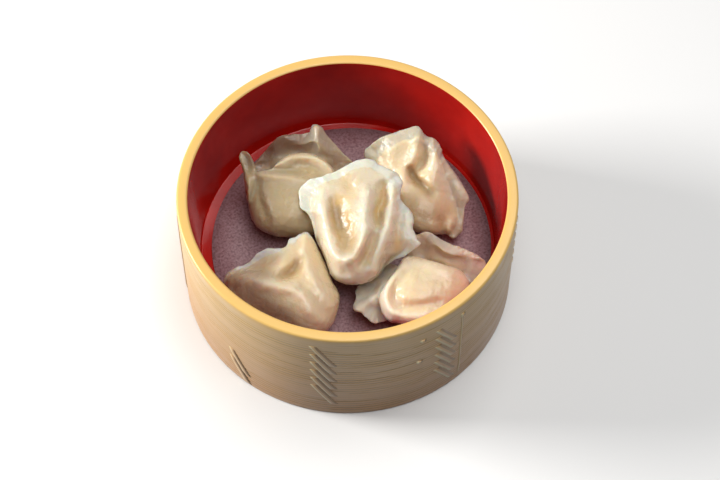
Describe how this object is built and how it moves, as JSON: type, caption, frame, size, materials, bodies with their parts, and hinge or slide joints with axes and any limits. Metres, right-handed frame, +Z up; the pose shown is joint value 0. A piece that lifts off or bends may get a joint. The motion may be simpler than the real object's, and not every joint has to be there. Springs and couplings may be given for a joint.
{
  "type": "steamed gyoza in a round steamer bowl",
  "caption": "Steamed gyoza with ruffled, half-moon dough folds, heaped on a paper disc in a round moulded steamer bowl with a red inside.",
  "frame": {"origin": "centre of the bowl's underside, on the surface that it stands on", "axes": "+Z up through the bowl's mouth, -Y towards the front of the picture, +X to the right"},
  "size_m": [0.1659, 0.1658, 0.073],
  "materials": {
    "bowl_plastic": "satin bamboo-coloured outside, glossy red lacquer-like inside",
    "paper": "thin damp fibrous steaming paper",
    "dough_back_left": "moist steamed dough",
    "dough_back_right": "moist steamed dough",
    "dough_front_left": "moist steamed dough",
    "dough_front_right": "moist steamed dough",
    "dough_center": "moist steamed dough"
  },
  "bodies": {
    "root": {"steamer_bowl": "bowl_plastic", "paper_disc": "paper", "gyoza_back_left": "dough_back_left", "gyoza_back_right": "dough_back_right", "gyoza_front_left": "dough_front_left", "gyoza_front_right": "dough_front_right", "gyoza_center": "dough_center"}
  },
  "joints": []
}
